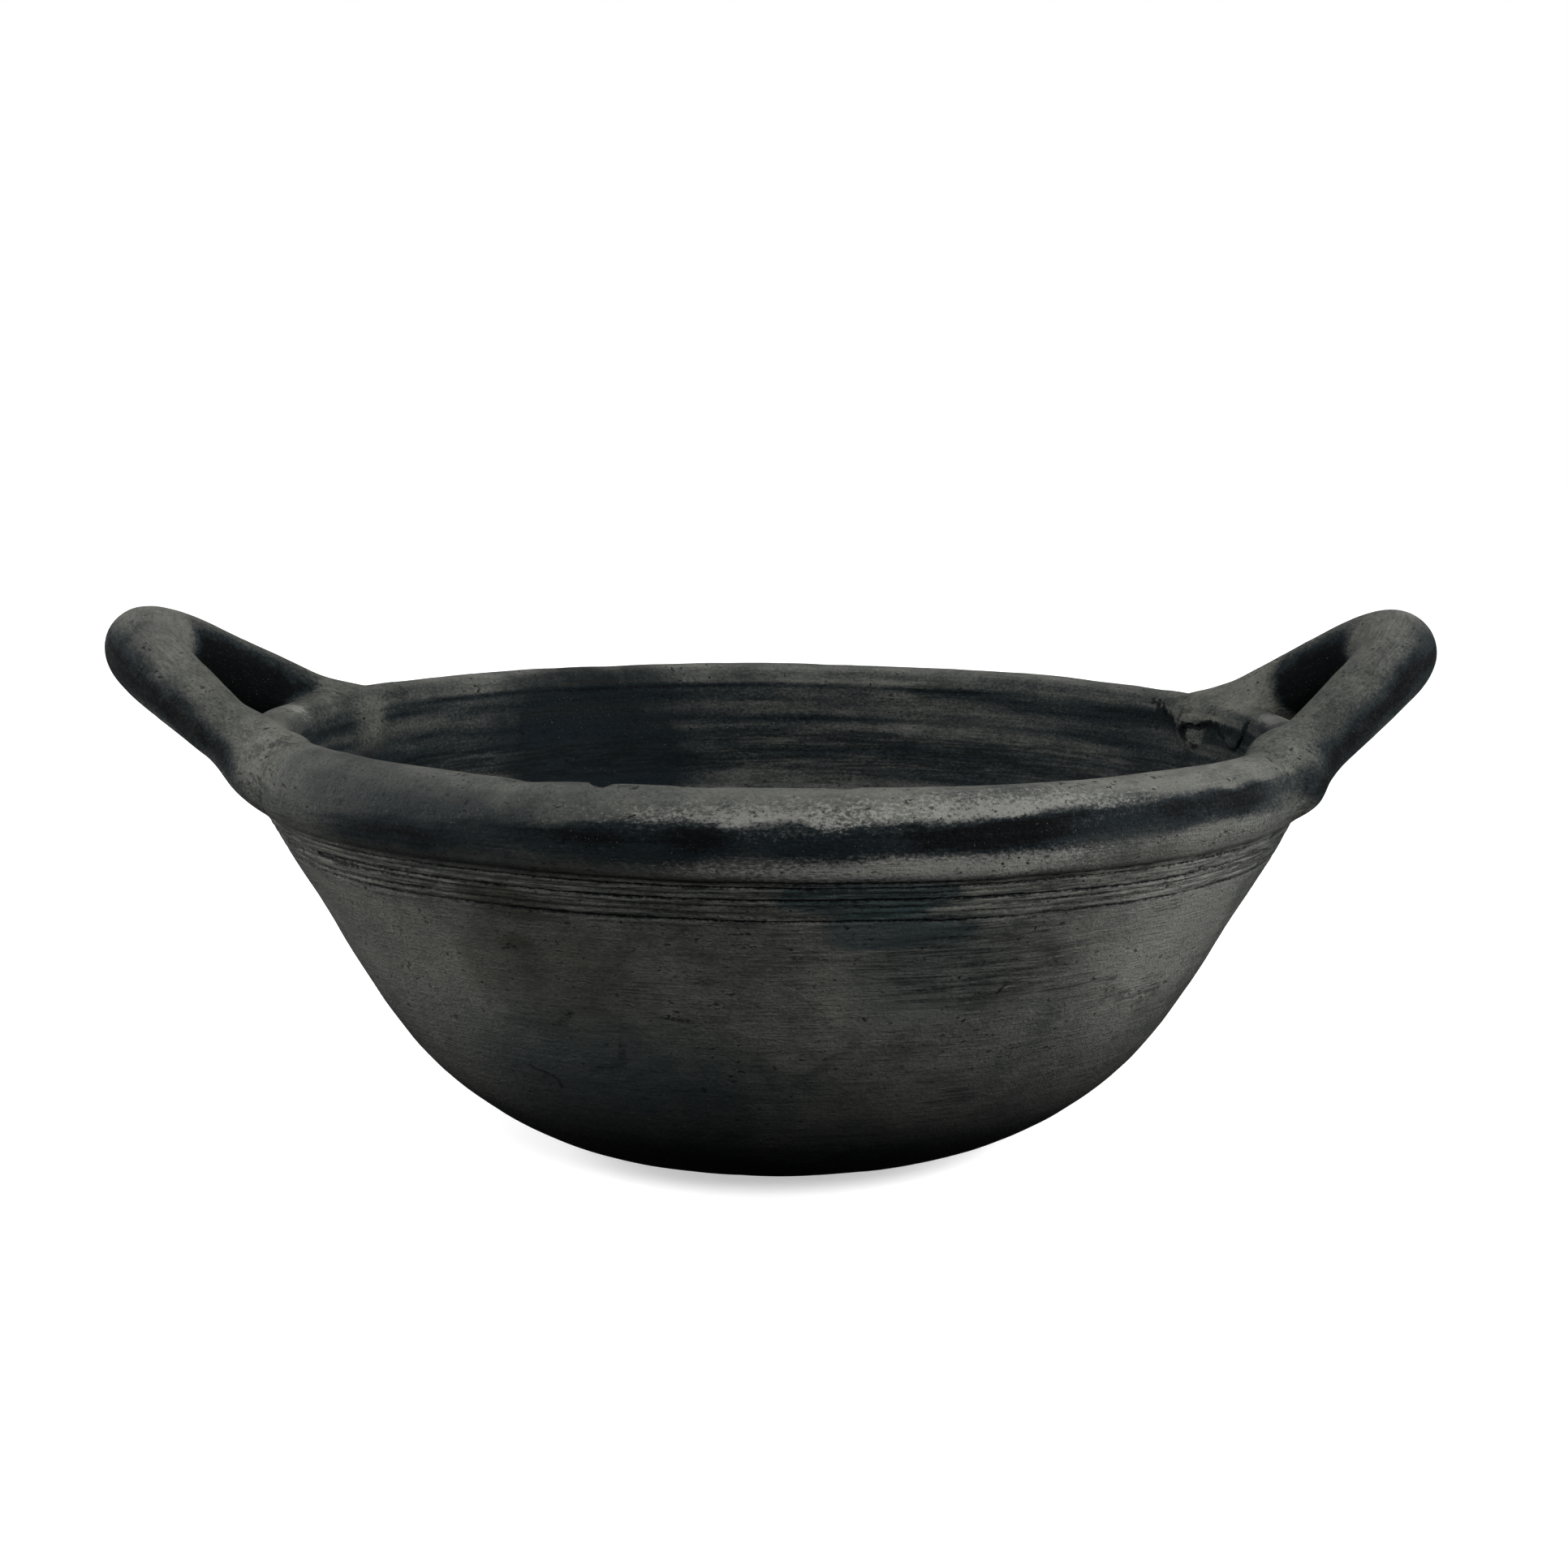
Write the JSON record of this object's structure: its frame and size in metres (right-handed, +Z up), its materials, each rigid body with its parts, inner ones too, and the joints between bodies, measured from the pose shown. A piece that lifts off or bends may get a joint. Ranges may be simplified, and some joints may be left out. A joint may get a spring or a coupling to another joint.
{
  "type": "clay bowl with loop handles",
  "caption": "Wide black clay bowl with a rolled rim, incised lines under it, a small flat foot and two loop handles rising from the rim.",
  "frame": {"origin": "centre of the flat foot, on the surface that the bowl stands on", "axes": "+Z up along the bowl's axis, +X towards the right handle, -Y is the front"},
  "size_m": [0.2954, 0.24, 0.1208],
  "materials": {
    "burnished_clay": "reduction-fired black clay, burnished with a pebble, satin, clouded blue-black and olive grey",
    "handle_clay": "reduction-fired black clay, wiped smooth by hand, satin grey with darker clouds",
    "luting_clay": "reduction-fired black clay, smeared on with a thumb, dull, with creases and torn edges"
  },
  "bodies": {
    "root": {"floor_slab": "burnished_clay", "belly_coil": "burnished_clay", "wall_coil": "burnished_clay", "rim_coil": "burnished_clay", "left_handle": "handle_clay", "right_handle": "handle_clay", "left_front_luting_wad": "luting_clay", "left_back_luting_wad": "luting_clay", "right_front_luting_wad": "luting_clay", "right_back_luting_wad": "luting_clay"}
  },
  "joints": []
}
